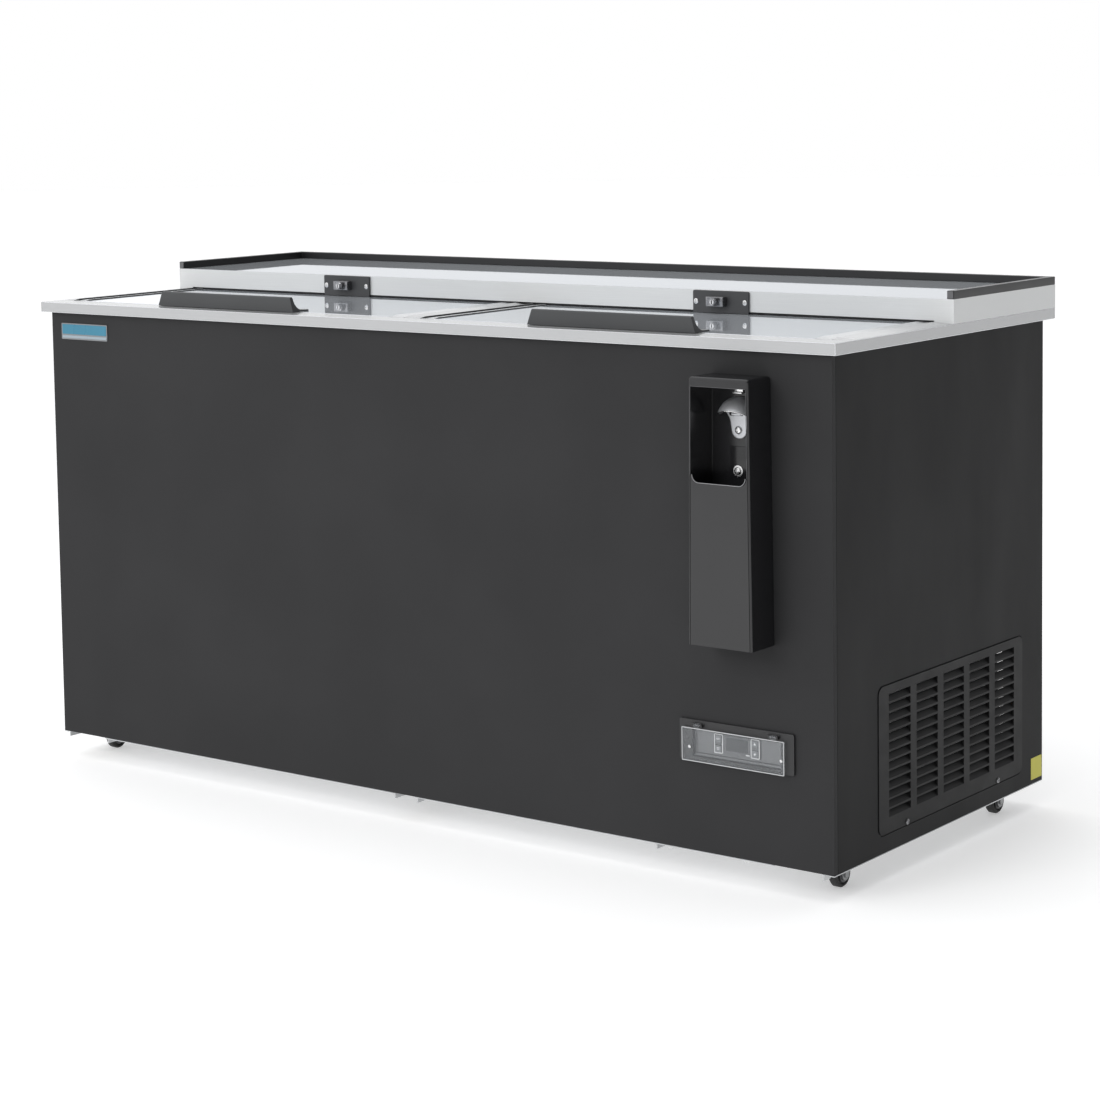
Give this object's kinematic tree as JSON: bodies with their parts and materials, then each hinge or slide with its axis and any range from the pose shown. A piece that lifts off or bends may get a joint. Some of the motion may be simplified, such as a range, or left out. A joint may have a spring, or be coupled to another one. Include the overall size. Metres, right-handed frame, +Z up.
{
  "type": "bottle cooler chest",
  "caption": "Black chest bottle cooler on casters with sliding stainless lids, a raised rear housing with locks, a cap catcher with opener, a control panel and a side grille.",
  "frame": {"origin": "on the floor, under the centre of the whole machine's bounding box", "axes": "+X to the right along the width, +Y from the front to the rear, +Z up"},
  "size_m": [1.65, 0.7445, 0.877],
  "materials": {
    "galvanised": "satin",
    "zinc_bolts": "satin",
    "black_coating": "satin",
    "foam": "matte",
    "liner_metal": "satin",
    "stainless": "satin",
    "lid_stainless": "polished",
    "track_aluminium": "satin",
    "seal_rubber": "matte",
    "core_foam": "matte",
    "rail_coating": "satin",
    "charcoal_plate": "satin",
    "screw_steel": "polished",
    "grille_coating": "satin",
    "bezel_plastic": "satin",
    "control_face": "satin",
    "controller_plastic": "gloss",
    "catcher_coating": "gloss",
    "cast_chrome": "satin",
    "badge": "satin",
    "compressor_paint": "gloss",
    "fin_aluminium": "satin",
    "motor_paint": "satin",
    "copper": "satin",
    "pan_plastic": "matte",
    "rack_coating": "satin",
    "cover_plastic": "gloss",
    "fan_plastic": "satin",
    "handle_plastic": "satin",
    "nylon": "matte",
    "lock_chrome": "polished",
    "key_plastic": "satin",
    "zinc_fork": "satin",
    "wheel_rubber": "matte"
  },
  "bodies": {
    "cabinet": {"base_frame": "galvanised", "base_bolts": "zinc_bolts", "front_panel": "black_coating", "left_panel": "black_coating", "right_panel": "black_coating", "rear_panel": "black_coating", "foam_insulation": "foam", "tub_liner": "liner_metal", "worktop": "stainless", "lid_divider": "stainless", "lid_tracks": "track_aluminium", "lid_seals": "seal_rubber", "rear_housing": "stainless", "housing_core": "core_foam", "guard_rail": "rail_coating", "lock_plates": "charcoal_plate", "panel_screws": "screw_steel", "side_grille": "grille_coating", "control_bezel": "bezel_plastic", "control_plate": "control_face", "temperature_controller": "controller_plastic", "catcher_housing": "catcher_coating", "bottle_opener": "cast_chrome", "badge_plate": "badge", "compressor": "compressor_paint", "condenser_coil": "fin_aluminium", "fan_motors": "motor_paint", "refrigerant_pipes": "copper", "condensate_pan": "pan_plastic", "evaporator_coil": "fin_aluminium", "evaporator_cover": "liner_metal", "bottle_racks": "rack_coating", "power_inlet": "bezel_plastic", "caster_plates": "galvanised"},
    "lid_left": {"lid_skin_left": "lid_stainless", "lid_core_left": "core_foam", "lid_handle_left": "handle_plastic", "lid_glides_left": "nylon"},
    "lock_plunger_left": {"lock_plunger_left": "lock_chrome"},
    "lid_right": {"lid_skin_right": "lid_stainless", "lid_core_right": "core_foam", "lid_handle_right": "handle_plastic", "lid_glides_right": "nylon"},
    "lock_plunger_right": {"lock_plunger_right": "lock_chrome"},
    "catcher_bin": {"catcher_bin": "catcher_coating"},
    "control_cover": {"control_cover": "cover_plastic"},
    "key_up": {"key_up": "key_plastic"},
    "key_down": {"key_down": "key_plastic"},
    "key_set": {"key_set": "key_plastic"},
    "key_light": {"key_light": "key_plastic"},
    "condenser_fan": {"condenser_fan": "fan_plastic"},
    "evaporator_fan": {"evaporator_fan": "fan_plastic"},
    "caster_fork_fl": {"caster_fork_fl": "zinc_fork"},
    "caster_wheel_fl": {"caster_wheel_fl": "wheel_rubber"},
    "caster_fork_fr": {"caster_fork_fr": "zinc_fork"},
    "caster_wheel_fr": {"caster_wheel_fr": "wheel_rubber"},
    "caster_fork_rl": {"caster_fork_rl": "zinc_fork"},
    "caster_wheel_rl": {"caster_wheel_rl": "wheel_rubber"},
    "caster_fork_rr": {"caster_fork_rr": "zinc_fork"},
    "caster_wheel_rr": {"caster_wheel_rr": "wheel_rubber"}
  },
  "joints": [
    {"name": "lid_left_slide", "type": "slide", "parent": "cabinet", "child": "lid_left", "axis": [0, 1, 0], "range_m": [0, 0.265]},
    {"name": "lid_right_slide", "type": "slide", "parent": "cabinet", "child": "lid_right", "axis": [0, 1, 0], "range_m": [0, 0.265]},
    {"name": "lock_left_push", "type": "slide", "parent": "cabinet", "child": "lock_plunger_left", "axis": [0, 1, 0], "range_m": [0, 0.008]},
    {"name": "lock_right_push", "type": "slide", "parent": "cabinet", "child": "lock_plunger_right", "axis": [0, 1, 0], "range_m": [0, 0.008]},
    {"name": "catcher_bin_pull", "type": "slide", "parent": "cabinet", "child": "catcher_bin", "axis": [0, -1, 0], "range_m": [0, 0.07]},
    {"name": "control_cover_hinge", "type": "hinge", "parent": "cabinet", "child": "control_cover", "pos_m": [0.645, -0.3175, 0.2385], "axis": [-1, 0, 0], "range_deg": [0, 100]},
    {"name": "key_up_press", "type": "slide", "parent": "cabinet", "child": "key_up", "axis": [0, 1, 0], "range_m": [0, 0.001], "stiffness_N_per_m": 300},
    {"name": "key_down_press", "type": "slide", "parent": "cabinet", "child": "key_down", "axis": [0, 1, 0], "range_m": [0, 0.001], "stiffness_N_per_m": 300},
    {"name": "key_set_press", "type": "slide", "parent": "cabinet", "child": "key_set", "axis": [0, 1, 0], "range_m": [0, 0.001], "stiffness_N_per_m": 300},
    {"name": "key_light_press", "type": "slide", "parent": "cabinet", "child": "key_light", "axis": [0, 1, 0], "range_m": [0, 0.001], "stiffness_N_per_m": 300},
    {"name": "condenser_fan_spin", "type": "hinge", "parent": "cabinet", "child": "condenser_fan", "pos_m": [0.7, -0.12, 0.185], "axis": [1, 0, 0], "continuous": true},
    {"name": "evaporator_fan_spin", "type": "hinge", "parent": "cabinet", "child": "evaporator_fan", "pos_m": [0.7, 0.022, 0.5095], "axis": [1, 0, 0], "continuous": true},
    {"name": "caster_fl_swivel", "type": "hinge", "parent": "cabinet", "child": "caster_fork_fl", "pos_m": [-0.768, -0.207, 0.05], "axis": [0, 0, 1], "continuous": true},
    {"name": "caster_fl_roll", "type": "hinge", "parent": "caster_fork_fl", "child": "caster_wheel_fl", "pos_m": [-0.768, -0.223, 0.021], "axis": [1, 0, 0], "continuous": true},
    {"name": "caster_fr_swivel", "type": "hinge", "parent": "cabinet", "child": "caster_fork_fr", "pos_m": [0.768, -0.207, 0.05], "axis": [0, 0, 1], "continuous": true},
    {"name": "caster_fr_roll", "type": "hinge", "parent": "caster_fork_fr", "child": "caster_wheel_fr", "pos_m": [0.768, -0.223, 0.021], "axis": [1, 0, 0], "continuous": true},
    {"name": "caster_rl_swivel", "type": "hinge", "parent": "cabinet", "child": "caster_fork_rl", "pos_m": [-0.768, 0.287, 0.05], "axis": [0, 0, 1], "continuous": true},
    {"name": "caster_rl_roll", "type": "hinge", "parent": "caster_fork_rl", "child": "caster_wheel_rl", "pos_m": [-0.768, 0.271, 0.021], "axis": [1, 0, 0], "continuous": true},
    {"name": "caster_rr_swivel", "type": "hinge", "parent": "cabinet", "child": "caster_fork_rr", "pos_m": [0.768, 0.287, 0.05], "axis": [0, 0, 1], "continuous": true},
    {"name": "caster_rr_roll", "type": "hinge", "parent": "caster_fork_rr", "child": "caster_wheel_rr", "pos_m": [0.768, 0.271, 0.021], "axis": [1, 0, 0], "continuous": true}
  ]
}
